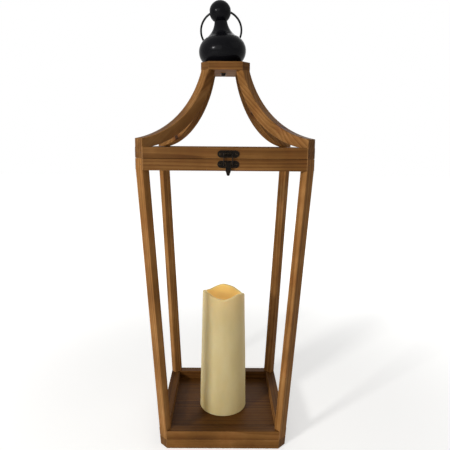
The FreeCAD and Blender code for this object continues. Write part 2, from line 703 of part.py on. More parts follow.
def make_bail():
    """A bent wire: both ends turned in to the lever, its bar behind the nose of the catch plate."""
    bar_height = nose_ledge_rise + bail_play + bail_wire_radius
    bar_reach = plate_thickness + bail_play + bail_wire_radius
    rise = bar_height - bail_pivot.z
    inward = -bail_pivot.y - bar_reach
    length = math.hypot(rise, inward)
    half = across_ears / 2.0 + bail_play + bail_wire_radius
    end = lever_width / 2.0 - bail_grip
    bend = 1.5 * bail_wire_radius
    big = bail_corner_radius
    turn = math.sqrt(0.5)
    edges = []
    for side in (1, -1):
        lower = Part.Arc(Vector(side * (half - bend), 0, 0), Vector(side * (half - bend + bend * turn), 0, bend - bend * turn),
                         Vector(side * half, 0, bend))
        upper = Part.Arc(Vector(side * half, 0, length - big),
                         Vector(side * (half - big + big * turn), 0, length - big + big * turn),
                         Vector(side * (half - big), 0, length))
        run = [line(Vector(side * end, 0, 0), Vector(side * (half - bend), 0, 0)), lower.toShape(),
               line(Vector(side * half, 0, bend), Vector(side * half, 0, length - big)), upper.toShape()]
        edges = edges + run if side == 1 else edges + [line(Vector(half - big, 0, length), Vector(big - half, 0, length))] + run[::-1]
    path = Part.Wire(Part.__sortEdges__(edges))
    start = Part.Wire(Part.makeCircle(bail_wire_radius, Vector(end, 0, 0), Vector(1, 0, 0)))
    wire = path.makePipeShell([start], True, False)
    wire.rotate(Vector(0, 0, 0), Vector(1, 0, 0), -math.degrees(math.atan2(inward, rise)))
    wire.translate(bail_pivot)
    return wire


save("latch_bail", at_latch(make_bail()))


# ---- Butt hinges: two frame knuckles outside, one lid knuckle between them ----
hinge_axis_y = top_half + knuckle_stand_off + knuckle_radius
knuckle_length = (hinge_width - 2.0 * knuckle_gap) / 3.0


def hinge_leaf(way, knuckle_starts):
    """A leaf with its knuckles; way is -1 for the frame's leaf and +1 for the lid's."""
    low, high = sorted((0.0, way * hinge_leaf_height))
    leaf = Part.makeBox(hinge_width, hinge_leaf_thickness, high - low, Vector(-hinge_width / 2.0, top_half, low))
    knuckle_space = rod(knuckle_radius + 2.0 * knuckle_stand_off, hinge_width,
                        Vector(-hinge_width / 2.0, hinge_axis_y, 0), Vector(1, 0, 0))
    leaf = leaf.cut(knuckle_space)
    for start in knuckle_starts:
        knuckle = rod(knuckle_radius, knuckle_length, Vector(start, hinge_axis_y, 0), Vector(1, 0, 0))
        reach_down = knuckle_radius + 3.0 * knuckle_stand_off
        low, high = sorted((way * seam_gap, way * reach_down))
        web = Part.makeBox(knuckle_length, hinge_leaf_thickness, high - low, Vector(start, top_half, low))
        leaf = leaf.fuse([knuckle, web])
    bore = rod(hinge_pin_radius + pin_fit, 2.0 * hinge_width, Vector(-hinge_width, hinge_axis_y, 0), Vector(1, 0, 0))
    return leaf.removeSplitter().cut(bore)


first = -hinge_width / 2.0
middle_start = first + knuckle_length + knuckle_gap
last = middle_start + knuckle_length + knuckle_gap
frame_leaf = hinge_leaf(-1, (first, last))
lid_leaf = hinge_leaf(1, (middle_start,))
pin_length = hinge_width + 2.0 * knuckle_gap
hinge_pin = rod(hinge_pin_radius, pin_length, Vector(-pin_length / 2.0, hinge_axis_y, 0), Vector(1, 0, 0))
for side in (-1, 1):
    head = rod(hinge_pin_head, hinge_pin_head_length, Vector(side * pin_length / 2.0, hinge_axis_y, 0), Vector(side, 0, 0))
    hinge_pin = hinge_pin.fuse(head)

for name, middle in (("left", hinge_middles[0]), ("right", hinge_middles[1])):
    save("hinge_frame_leaf_" + name, drilled(moved(frame_leaf, middle, 0, seam_height), hinge_hole, frame_hinge_screws))
    save("hinge_lid_leaf_" + name, drilled(moved(lid_leaf, middle, 0, seam_height), hinge_hole, lid_hinge_screws))
save("hinge_pins", *[moved(hinge_pin.removeSplitter(), middle, 0, seam_height) for middle in hinge_middles])
save("hinge_frame_screws", *[aimed(hinge_screw, place, way) for place, way in frame_hinge_screws])
save("hinge_lid_screws", *[aimed(hinge_screw, place, way) for place, way in lid_hinge_screws])


# ---- LED candle, built standing on the origin ----
candle_foot = base_thickness + candle_gap
well_floor = candle_height - well_depth
well_underside = well_floor - well_floor_thickness


def on_board(shape):
    return moved(shape, 0, 0, candle_foot)


def rim_height(x, y):
    """Height of the softly melted rim over a point of the plan."""
    return candle_height - rim_fall_right * x + rim_rise_rear * y + rim_saddle * (y * y - x * x)


def above_rim():
    """A block whose underside is the wavy rim surface."""
    steps = 6
    wide = 1.5 * candle_foot_radius
    grid = []
    for i in range(steps + 1):
        x = wide * (2.0 * i / steps - 1.0)
        row = [wide * (2.0 * k / steps - 1.0) for k in range(steps + 1)]
        grid.append([Vector(x, y, rim_height(x, y)) for y in row])
    surface = Part.BSplineSurface()
    surface.interpolate(grid)
    return surface.toShape().extrude(Vector(0, 0, well_depth))


def make_wax():
    tall = candle_height + 0.25 * well_depth
    grow = (candle_top_radius - candle_foot_radius) / candle_height
    outline = [(light_hole_radius, well_underside), (light_hole_radius, well_floor), (well_floor_radius, well_floor),
               (candle_top_radius - wall_at_rim, candle_height), (candle_top_radius - wall_at_rim, tall),
               (candle_foot_radius + grow * tall, tall), (candle_foot_radius, 0), (housing_radius + housing_fit, 0),
               (housing_radius + housing_fit, housing_height), (hollow_radius, housing_height),
               (hollow_radius, well_underside)]
    solid = stepped(outline)
    lower = [e for e in solid.Edges if isinstance(e.Curve, Part.Circle) and e.Curve.Center.z < 0.001
             and e.Curve.Radius > candle_foot_radius - 0.001]
    return solid.makeFillet(candle_edge, lower).cut(above_rim())


save("candle_wax", on_board(make_wax()))
diffuser_radius = well_floor_radius - housing_fit
diffuser = stepped([(0, 0), (diffuser_radius, 0), (diffuser_radius, 0.6 * diffuser_thickness),
                    (0.8 * diffuser_radius, diffuser_thickness), (0, diffuser_thickness)])
save("candle_diffuser", on_board(moved(diffuser, 0, 0, well_floor)))

compartment_length = cell_length + cell_nub_length + 2.0 * (contact_thickness + contact_boss + cell_play)
compartment_width = 4.0 * cell_radius + 3.0 * cell_play
compartment_depth = cover_thickness + 2.0 * cell_radius + 2.0 * cell_play
cover_length = compartment_length + 2.0 * cover_margin
cover_width = compartment_width + 2.0 * cover_margin


def cover_blank(play):
    """The battery cover's round-cornered plate, or the recess for it when play is added."""
    plate = Part.makeBox(cover_length + 2.0 * play, cover_width + 2.0 * play, cover_thickness,
                         Vector(-cover_length / 2.0 - play, -cover_width / 2.0 - play, cover_lift))
    return round_edges_along(plate, up, cover_margin)


cover_lift = 0.5             # the underside sits inside the wax's lower edge
cover_screw_place = (Vector(0, cover_width / 2.0 - 0.6 * cover_margin, cover_lift), up)
cover_screw = countersunk_screw(0.5 * small_screw_radius, 0.5 * small_screw_head, small_screw_length)
cover_hole = countersunk_hole(0.5 * small_screw_radius, 0.5 * small_screw_head, small_screw_length)
switch_pocket_length = switch_length + switch_travel + 2.0 * switch_play
switch_pocket = Part.makeBox(switch_pocket_length, switch_width + 2.0 * switch_play, switch_height + switch_recess,
                             Vector(-switch_pocket_length / 2.0, -switch_place - switch_width / 2.0 - switch_play, 0))


def make_housing():
    """The moulded base: a disc with the cells' compartment, the cover's recess and the switch pocket."""
    solid = Part.makeCylinder(housing_radius, housing_height - cover_lift, Vector(0, 0, cover_lift))
    pocket = Part.makeBox(compartment_length, compartment_width, compartment_depth,
                          Vector(-compartment_length / 2.0, -compartment_width / 2.0, cover_lift))
    solid = solid.cut(pocket).cut(cover_blank(cover_play)).cut(switch_pocket)
    return drilled(solid, cover_hole, [cover_screw_place])


save("candle_housing", on_board(make_housing()))
cover = drilled(cover_blank(0), cover_hole, [cover_screw_place])
save("candle_battery_cover", on_board(cover))
save("candle_cover_screw", on_board(aimed(cover_screw, *cover_screw_place)))

cell = stepped([(0, 0), (cell_radius, 0), (cell_radius, cell_length), (cell_nub_radius, cell_length),
                (cell_nub_radius, cell_length + cell_nub_length), (0, cell_length + cell_nub_length)])
cell_height = cover_lift + cover_thickness + cell_play + cell_radius
cell_side = cell_radius + cell_play / 2.0
whole_cell = cell_length + cell_nub_length
cells = []
contacts = []
for side in (-1, 1):
    start = Vector(-side * whole_cell / 2.0, side * cell_side, cell_height)
    copy = cell.copy()
    copy.Placement = Placement(start, Rotation(up, Vector(side, 0, 0)))
    cells.append(on_board(copy))
    for end in (-1, 1):
        wall = end * compartment_length / 2.0
        plate = Part.makeBox(contact_thickness, 1.4 * cell_radius, 1.4 * cell_radius,
                             Vector(min(wall, wall - end * contact_thickness), side * cell_side - 0.7 * cell_radius,
                                    cell_height - 0.7 * cell_radius))
        boss = Part.makeCone(0.6 * cell_radius, 0.3 * cell_radius, contact_boss,
                             Vector(wall - end * contact_thickness, side * cell_side, cell_height), Vector(-end, 0, 0))
        contacts.append(on_board(plate.fuse(boss).removeSplitter()))
save("candle_batteries", *cells)
save("candle_contacts", *contacts)

board_top = well_floor - led_play - led_length
mast_length = board_top - board_thickness - housing_height
mast = rod(mast_radius, mast_length, Vector(0, 0, housing_height), up)
mast = mast.cut(rod(mast_radius - mast_wall, mast_length, Vector(0, 0, housing_height), up))
save("candle_mast", on_board(mast))
save("candle_board", on_board(rod(board_radius, board_thickness, Vector(0, 0, board_top - board_thickness), up)))
led = stepped([(0, 0), (led_radius, 0), (led_radius, led_length - led_radius), (0.7 * led_radius, led_length - 0.3 * led_radius),
               (0, led_length)])
leds = [on_board(moved(led, led_circle * math.cos(a), led_circle * math.sin(a), board_top))
        for a in (math.radians(90 + 120 * k) for k in range(3))]
save("candle_leds", *leds)

switch_body = Part.makeBox(switch_length, switch_width, switch_height,
                           Vector(-switch_pocket_length / 2.0 + switch_play, -switch_place - switch_width / 2.0, switch_recess))
grip = Part.makeBox(0.2 * switch_length, switch_width, 0.5 * switch_recess,
                    Vector(-switch_pocket_length / 2.0 + switch_play + 0.4 * switch_length,
                           -switch_place - switch_width / 2.0, 0.5 * switch_recess))
save("candle_switch", on_board(switch_body.fuse(grip).removeSplitter()))
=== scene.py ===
# %% [markdown]
# # A wooden lantern with a curved roof, dressed in Blender
#
# The lantern comes in as a finished CAD model: posts, rails, curved struts, a black
# finial, a draw latch and a pillar candle that glows. Its sizes and joints are fixed.
# This lesson gives every piece the look of the real thing: brown stained pine with
# growth rings and knots, dark bronze, glossy black paint and ivory wax.
#
# The first cell loads the model.

# %% Load the frame
import json
import math

import bmesh
import bpy
import numpy as np
from mathutils import Matrix, Vector


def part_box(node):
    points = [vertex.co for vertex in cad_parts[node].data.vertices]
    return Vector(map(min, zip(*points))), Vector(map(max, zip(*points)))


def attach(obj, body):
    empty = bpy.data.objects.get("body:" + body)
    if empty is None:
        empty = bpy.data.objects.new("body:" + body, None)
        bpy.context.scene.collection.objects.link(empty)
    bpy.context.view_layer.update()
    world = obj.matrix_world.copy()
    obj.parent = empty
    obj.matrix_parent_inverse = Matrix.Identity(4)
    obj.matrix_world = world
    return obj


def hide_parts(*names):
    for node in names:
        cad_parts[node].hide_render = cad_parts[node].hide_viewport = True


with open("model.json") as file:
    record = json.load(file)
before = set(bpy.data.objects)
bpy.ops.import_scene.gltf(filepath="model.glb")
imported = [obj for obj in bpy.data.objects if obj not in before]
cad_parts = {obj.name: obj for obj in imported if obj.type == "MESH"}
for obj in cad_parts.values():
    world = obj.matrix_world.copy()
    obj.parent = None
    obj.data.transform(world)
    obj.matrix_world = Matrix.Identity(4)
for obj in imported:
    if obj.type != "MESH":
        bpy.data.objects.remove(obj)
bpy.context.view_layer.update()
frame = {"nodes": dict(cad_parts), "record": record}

nodes = frame["nodes"]
slot_of = {part["node"]: part["material_slot"] for part in frame["record"]["subparts"]}

# %% [markdown]
# ## The camera
#
# The camera stands where the photographer stood, above the middle of the lantern
# and about 0.74 m in front of it, looking slightly down. A camera could be aimed
# with a Track To constraint, but a matrix written from its own right, up and back
# directions also keeps the small roll of a hand-held picture.

# %% Camera
MILLIMETRE = 0.001
camera_place = Vector((-2.25, -737.2, 481.8)) * MILLIMETRE
camera_pitch = 0.1809      # radians down
camera_roll = 0.0078
camera_yaw = 0.0048
sensor_width = 36.0
focal_length = 35.45

level_right = Vector((1, 0, 0))
ahead = Vector((0, math.cos(camera_pitch), -math.sin(camera_pitch)))
level_up = level_right.cross(ahead)
right = math.cos(camera_roll) * level_right + math.sin(camera_roll) * level_up
up = math.cos(camera_roll) * level_up - math.sin(camera_roll) * level_right
axes = Matrix((right, up, -ahead)).transposed()
camera = bpy.data.objects.new("camera", bpy.data.cameras.new("camera"))
camera.data.sensor_width = sensor_width
camera.data.lens = focal_length
camera.data.clip_start = 0.01
turned_axes = Matrix.Rotation(-camera_yaw, 3, "Z") @ axes
camera.matrix_world = Matrix.Translation(camera_place) @ turned_axes.to_4x4()
bpy.context.scene.collection.objects.link(camera)
bpy.context.scene.camera = camera
print("camera at", [round(value, 3) for value in camera.location])

# %% [markdown]
# ## Short names for building node trees
#
# Node trees can be drawn by hand in the shader editor. In a script the same wiring
# reads best with a small helper: `Bench` adds a node, plugs in whatever it is given
# (a number, a colour or another node's output) and hands back its output.

# %% Node helper


def srgb(red, green, blue):
    """A colour as read from a picture (0 to 255), turned into the linear light that shaders use."""
    channels = np.array([red, green, blue]) / 255.0
    linear = np.where(channels <= 0.04045, channels / 12.92, ((channels + 0.055) / 1.055) ** 2.4)
    return (*[float(c) for c in linear], 1.0)


class Bench:
    """A node tree with short calls for the nodes used here."""

    def __init__(self, tree):
        self.tree = tree

    def add(self, kind, given=None, **settings):
        """A node of that kind. given: {socket name or number: number, colour or output}."""
        node = self.tree.nodes.new("ShaderNode" + kind)
        for name, setting in settings.items():
            setattr(node, name, setting)
        for key, value in (given or {}).items():
            self.plug(node.inputs[key], value)
        return node

    def plug(self, socket, value):
        if isinstance(value, bpy.types.NodeSocket):
            self.tree.links.new(value, socket)
        else:
            socket.default_value = value

    def math(self, operation, *values, clamp=False):
        node = self.add("Math", dict(enumerate(values)), operation=operation, use_clamp=clamp)
        return node.outputs[0]

    def vector(self, operation, *values):
        node = self.add("VectorMath", operation=operation)
        for number, value in enumerate(values):
            is_factor = operation == "SCALE" and number == 1
            self.plug(node.inputs["Scale" if is_factor else number], value)
        gives_number = operation in ("LENGTH", "DOT_PRODUCT", "DISTANCE")
        return node.outputs["Value" if gives_number else 0]

    def noise(self, vector, scale, detail=2.0, roughness=0.5, output="Fac"):
        given = {"Vector": vector, "Scale": scale, "Detail": detail, "Roughness": roughness}
        return self.add("TexNoise", given).outputs[output]

    def step(self, value, start, end, low=0.0, high=1.0):
        """Rises smoothly from low to high while value goes from start to end."""
        given = {"Value": value, "From Min": start, "From Max": end, "To Min": low, "To Max": high}
        return self.add("MapRange", given, interpolation_type="SMOOTHSTEP").outputs["Result"]

    def mix(self, factor, first, second, blend="MIX"):
        """Colour between first (factor 0) and second (factor 1)."""
        node = self.add("Mix", {0: factor, 6: first, 7: second}, data_type="RGBA", blend_type=blend)
        return node.outputs[2]

    def ramp(self, value, *stops):
        """A colour ramp through (position, colour) stops."""
        node = self.add("ValToRGB", {0: value})
        elements = node.color_ramp.elements
        while len(elements) < len(stops):
            elements.new(0.5)
        for element, (position, colour) in zip(elements, stops):
            element.position = position
            element.color = colour
        return node.outputs[0]


def new_group(name, inputs, outputs):
    """An empty node group with named sockets, its bench, and its input sockets by name."""
    tree = bpy.data.node_groups.new(name, "ShaderNodeTree")
    for label, kind, default in inputs:
        socket = tree.interface.new_socket(label, in_out="INPUT", socket_type="NodeSocket" + kind)
        if default is not None:
            socket.default_value = default
    for label, kind in outputs:
        tree.interface.new_socket(label, in_out="OUTPUT", socket_type="NodeSocket" + kind)
    entry = tree.nodes.new("NodeGroupInput")
    leave = tree.nodes.new("NodeGroupOutput")
    return Bench(tree), entry.outputs, leave.inputs


print("node helper ready")

# %% [markdown]
# ## Edge wear
#
# On the real lantern the stain is thinner where sandpaper and hands have rounded the
# edges, and the bronze is rubbed brighter there. Painting a mask by hand would take a UV
# map. The Bevel node is simpler: it says how a slightly rounded surface would face, and
# where that differs from the true face there is an edge. One group serves all finishes.

# %% Edge wear group
bench, entry, leave = new_group(
    "edge_wear",
    [("Width", "Float", 0.001), ("Place", "Vector", None), ("Raggedness", "Float", 0.5)],
    [("Mask", "Float")])
rounded = bench.add("Bevel", {"Radius": entry["Width"]}, samples=6).outputs["Normal"]
true_face = bench.add("NewGeometry").outputs["Normal"]
turn = bench.math("SUBTRACT", 1.0, bench.vector("DOT_PRODUCT", rounded, true_face))
ragged = bench.math("MULTIPLY", bench.noise(entry["Place"], 160.0, 3.0), entry["Raggedness"])
worn = bench.math("MULTIPLY", bench.step(turn, 0.02, 0.22), bench.math("SUBTRACT", 1.2, ragged), clamp=True)
bench.plug(leave["Mask"], worn)
edge_wear = bench.tree
print("edge wear:", len(edge_wear.nodes), "nodes")

# %% [markdown]
# ## Stained pine
#
# Every wooden piece is sawn from a log, so its pattern is a slice through growth rings:
# cylinders around the middle of the tree. An image or a stretched noise would show the
# same streaks on every side of a strip. Working out the distance from the log's middle
# instead gives lines on one face, broad flames on the next and rings on the end grain, all
# of which meet at the edges. A knot pushes the rings aside and has a dark middle.
#
# Inputs: Log is the place in the log with Z along the grain, Place the place on the
# lantern, End how squarely the face cuts the grain, Knot where a branch went through.

# %% Stained pine group
bench, entry, leave = new_group(
    "stained_pine",
    [("Log", "Vector", None), ("Place", "Vector", None), ("End", "Float", 0.0),
     ("Knot", "Vector", None), ("Knot Size", "Float", 0.006), ("Ring Width", "Float", 0.0046),
     ("Depth", "Float", 0.5), ("Wear", "Float", 0.0)],
    [("Color", "Color"), ("Roughness", "Float"), ("Height", "Float")])

# The rings: distance from a slightly wandering pith, pushed outwards near a knot.
drift = bench.noise(bench.vector("MULTIPLY", entry["Log"], (13.0, 13.0, 2.2)), 1.0, 2.0, output="Color")
drift = bench.vector("SCALE", bench.vector("SUBTRACT", drift, (0.5, 0.5, 0.5)), 0.016)
across = bench.vector("MULTIPLY", bench.vector("ADD", entry["Log"], drift), (1.0, 1.0, 0.0))
from_knot = bench.math("DIVIDE", bench.vector("DISTANCE", entry["Place"], entry["Knot"]), entry["Knot Size"])
bulge = bench.math("EXPONENT", bench.math("MULTIPLY", bench.math("MULTIPLY", from_knot, from_knot), -0.16))
pushed = bench.math("MULTIPLY", bulge, bench.math("MULTIPLY", entry["Knot Size"], 1.4))
depth_in_log = bench.math("ADD", bench.vector("LENGTH", across), pushed)
ring = bench.math("DIVIDE", depth_in_log, entry["Ring Width"])
ring_number = bench.math("FLOOR", ring)
within = bench.math("FRACT", ring)

# Within a ring the wood darkens slowly towards the late wood and ends sharply.
year = bench.add("TexWhiteNoise", {"W": ring_number}, noise_dimensions="1D").outputs["Value"]
late = bench.math("MULTIPLY", bench.step(within, 0.25, 0.92), bench.step(within, 1.0, 0.93))
late = bench.math("MULTIPLY", late, bench.math("ADD", 0.45, bench.math("MULTIPLY", year, 0.55)))

# Fine fibres, broader streaks and blotches of stain add to the tone.
fibre = bench.noise(bench.vector("MULTIPLY", entry["Log"], (950.0, 950.0, 14.0)), 1.0, 3.0, 0.6)
streak = bench.noise(bench.vector("MULTIPLY", entry["Log"], (150.0, 150.0, 3.5)), 1.0, 2.0)
blotch = bench.noise(entry["Place"], 17.0, 3.0, 0.55)
tone = bench.math("SUBTRACT", 0.62, bench.math("MULTIPLY", late, 0.30))
tone = bench.math("ADD", tone, bench.math("MULTIPLY", bench.math("SUBTRACT", fibre, 0.5), 0.38))
tone = bench.math("ADD", tone, bench.math("MULTIPLY", bench.math("SUBTRACT", streak, 0.5), 0.55))
tone = bench.math("ADD", tone, bench.math("MULTIPLY", bench.math("SUBTRACT", blotch, 0.5), 0.75), clamp=True)

# The tone picks a colour. Stain depth, which also carries painted shade and painted light,
# then wear, knots and cut grain change it in turn.
colour = bench.ramp(tone, (0.0, srgb(86, 52, 21)), (0.3, srgb(120, 78, 34)),
                    (0.58, srgb(149, 103, 53)), (0.82, srgb(176, 128, 76)), (1.0, srgb(197, 151, 102)))
redness = bench.step(bench.noise(entry["Place"], 31.0, 2.0), 0.45, 0.75, 0.0, 0.22)
colour = bench.mix(redness, colour, bench.mix(1.0, colour, srgb(255, 214, 196), "MULTIPLY"))
darker = bench.mix(1.0, colour, srgb(146, 134, 98), "MULTIPLY")
colour = bench.mix(entry["Depth"], colour, darker)
colour = bench.mix(bench.math("MULTIPLY", entry["Wear"], 0.42), colour, srgb(196, 148, 98))
halo = bench.step(from_knot, 2.6, 0.9, 0.0, 0.55)
colour = bench.mix(halo, colour, srgb(104, 56, 26))
heart = bench.step(bench.math("ADD", from_knot, bench.math("MULTIPLY", fibre, 0.5)), 1.25, 0.75, 0.0, 0.92)
colour = bench.mix(heart, colour, srgb(44, 24, 12))
cut = bench.step(entry["End"], 0.55, 0.95, 0.0, 0.72)
colour = bench.mix(cut, colour, bench.mix(1.0, colour, srgb(104, 84, 70), "MULTIPLY"))
bench.plug(leave["Color"], colour)
bench.plug(leave["Roughness"], bench.math("ADD", 0.50, bench.math("MULTIPLY", fibre, 0.24)))
relief = bench.math("ADD", bench.math("MULTIPLY", late, 0.6), bench.math("MULTIPLY", fibre, 0.5))
bench.plug(leave["Height"], bench.math("SUBTRACT", relief, bench.math("MULTIPLY", heart, 0.5)))
stained_pine = bench.tree
print("stained pine:", len(stained_pine.nodes), "nodes")

# %% [markdown]
# ## One piece of wood, one material
#
# Each strip is its own cut, so each gets its own copy of the wood material with the
# log turned along the strip and moved to another spot. The Mapping node does both.
# The corner posts lean, so their grain leans with them; a curved strut is sawn from a
# straight board, so its grain runs from its heel to its tip.

# %% Grain of each wooden piece
corner_turn = {"front_left": 225.0, "front_right": 315.0, "rear_right": 45.0, "rear_left": 135.0}
post_slope = 0.0795            # how far a post moves outwards for each metre up
strut_rise = 103.6             # millimetres from a strut's heel to its tip, up and inwards
strut_run = 123.8


def grain_of(name):
    """The direction along which a wooden piece was sawn, as a unit vector."""
    corner = next((math.radians(turn) for place, turn in corner_turn.items() if name.endswith(place)), None)
    if name.startswith("post"):
        return Vector((post_slope * math.cos(corner), post_slope * math.sin(corner), 1.0)).normalized()
    if name.startswith("strut"):
        return Vector((-strut_run * math.cos(corner), -strut_run * math.sin(corner), strut_rise)).normalized()
    if name.endswith(("left", "right")):
        return Vector((0, 1, 0))
    return Vector((1, 0, 0))


wooden = sorted(name for name, slot in slot_of.items() if slot == "wood")
print(len(wooden), "wooden pieces:", ", ".join(wooden))

# %% [markdown]
# The stain took differently on each kind of strip. The rails came out darker and browner than
# the corner pieces, so each kind has its own depth of stain. The lower rail at the rear is
# darkest of all, which is painted shade, as its inside lies in shade. Faces that look up are
# painted darker and those that look down paler: painted shade on tops, painted light on
# undersides. Three struts have a knot that the photograph shows.

# %% Depth of stain and knots
far_away = (9.0, 9.0, 9.0)
# depth of stain for each kind; the rear lower rail's full depth is painted shade, for the shade its inside
# lies in
stain_and_shade_depth = {"lower_rail_rear": 1.0, "lid_rail": 0.74, "upper_rail": 0.70, "lower_rail": 0.55,
               "base_board": 0.55, "crown": 0.60, "post": 0.20, "strut": 0.40}
knots = {"strut_rear_left": (-0.0868, 0.0751, 0.4925),
         "strut_front_right": (0.0841, -0.0842, 0.5058),
         "strut_rear_right": (0.0476, 0.0384, 0.5323)}


def pine(name, number):
    """The stained pine material of one piece; number picks where in the log it was sawn."""
    material = bpy.data.materials.new("pine_" + name)
    material.use_nodes = True
    bench = Bench(material.node_tree)
    shader = material.node_tree.nodes["Principled BSDF"]
    texture = bench.add("TexCoord")
    grain = grain_of(name)
    turn = grain.rotation_difference(Vector((0, 0, 1))).to_matrix()
    low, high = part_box(name)
    middle = turn @ ((low + high) / 2.0)
    angle = 2.4 * number                      # about the golden angle, so no two cuts match
    pith = Vector((math.cos(angle), math.sin(angle), 0.0)) * (0.020 + 0.007 * (number % 5))
    shift = pith - Vector((middle.x, middle.y, 0.37 * number))
    log = bench.add("Mapping", {"Vector": texture.outputs["Object"], "Location": shift,
                                "Rotation": turn.to_euler()}).outputs[0]
    squareness = bench.math("ABSOLUTE", bench.vector("DOT_PRODUCT", texture.outputs["Normal"], grain))
    wear = bench.add("Group", node_tree=edge_wear)
    bench.plug(wear.inputs["Width"], 0.0016)
    bench.plug(wear.inputs["Place"], texture.outputs["Object"])
    wood = bench.add("Group", node_tree=stained_pine)
    kind_stain_and_shade = next(depth for start, depth in stain_and_shade_depth.items() if name.startswith(start))
    upward = bench.add("SeparateXYZ", {0: texture.outputs["Normal"]}).outputs[2]
    # painted shade and light by facing: faces that look up get a deeper colour, faces that look down a paler
    # one
    painted_light_by_facing = bench.math("SUBTRACT", bench.step(upward, 0.6, 0.95), bench.step(upward, -0.6, -0.95))
    depth = bench.math("ADD", kind_stain_and_shade, bench.math("MULTIPLY", painted_light_by_facing, 0.5), clamp=True)
    for label, value in {"Log": log, "Place": texture.outputs["Object"], "End": squareness,
                         "Knot": knots.get(name, far_away), "Wear": wear.outputs["Mask"],
                         "Depth": depth}.items():
        bench.plug(wood.inputs[label], value)
    bench.plug(shader.inputs["Base Color"], wood.outputs["Color"])
    bench.plug(shader.inputs["Roughness"], wood.outputs["Roughness"])
    shader.inputs["Specular IOR Level"].default_value = 0.12
    bump = bench.add("Bump", {"Height": wood.outputs["Height"], "Distance": 0.00025, "Strength": 0.5})
    bench.plug(shader.inputs["Normal"], bump.outputs[0])
    return material


for number, name in enumerate(wooden):
    nodes[name].data.materials.clear()
    nodes[name].data.materials.append(pine(name, number))
print("wood done")

# %% [markdown]
# ## Mottle, for metal, paint and plastic
#
# No real surface is one flat colour. Cast, painted and plated pieces vary a little from
# place to place, and have fine pits or scratches. One group gives a broad cloud, a
# fine speckle and a height from both, and each finish uses them at its own scale.

# %% Mottle group
bench, entry, leave = new_group(
    "mottle",
    [("Place", "Vector", None), ("Cloud Scale", "Float", 60.0), ("Speck Scale", "Float", 900.0)],
    [("Cloud", "Float"), ("Speck", "Float"), ("Height", "Float")])
cloud = bench.noise(entry["Place"], entry["Cloud Scale"], 4.0, 0.6)
speck = bench.noise(entry["Place"], entry["Speck Scale"], 2.0, 0.6)
bench.plug(leave["Cloud"], bench.step(cloud, 0.3, 0.7))
bench.plug(leave["Speck"], bench.step(speck, 0.35, 0.65))
rough_height = bench.math("ADD", bench.math("MULTIPLY", cloud, 0.7), bench.math("MULTIPLY", speck, 0.3))
bench.plug(leave["Height"], rough_height)
mottle = bench.tree
print("mottle:", len(mottle.nodes), "nodes")

# %% [markdown]
# A finish is then a short recipe: two colours that the cloud mixes, a third for worn
# edges, a range of roughness, and numbers for the shader itself such as metallic and
# specular, which are set straight on its sockets.

# %% Finish helper


def finish(name, main, second, worn, roughness, wear_width=0.0006, wear_amount=0.6, cloud=60.0, speck=900.0,
           bump=0.00005, **shader_values):
    """A material of two mottled colours with worn edges. roughness: (smooth, rough)."""
    material = bpy.data.materials.new(name)
    material.use_nodes = True
    bench = Bench(material.node_tree)
    shader = material.node_tree.nodes["Principled BSDF"]
    place = bench.add("TexCoord").outputs["Object"]
    pattern = bench.add("Group", node_tree=mottle)
    for label, value in {"Place": place, "Cloud Scale": cloud, "Speck Scale": speck}.items():
        bench.plug(pattern.inputs[label], value)
    wear = bench.add("Group", node_tree=edge_wear)
    bench.plug(wear.inputs["Width"], wear_width)
    bench.plug(wear.inputs["Place"], place)
    colour = bench.mix(pattern.outputs["Cloud"], main, second)
    rubbed = bench.math("MULTIPLY", wear.outputs["Mask"], wear_amount)
    bench.plug(shader.inputs["Base Color"], bench.mix(rubbed, colour, worn))
    smooth, rough = roughness
    bench.plug(shader.inputs["Roughness"], bench.step(pattern.outputs["Speck"], 0.0, 1.0, smooth, rough))
    height = bench.add("Bump", {"Height": pattern.outputs["Height"], "Distance": bump, "Strength": 0.6})
    bench.plug(shader.inputs["Normal"], height.outputs[0])
    for label, value in shader_values.items():
        shader.inputs[label.replace("_", " ")].default_value = value
    return material


print("finish helper ready")

# %% [markdown]
# ## Paint, metal, plastic
#
# The finial is turned wood under glossy black paint, the ring black enamelled wire.
# Latch and hinges are antiqued bronze, nearly black with a warm rub on the edges. The
# nails, the finial's stud, nut and washer are blackened steel, other steel is zinc plated.
# Inside the candle are plastic, a green circuit board, battery cells and nickel contacts.

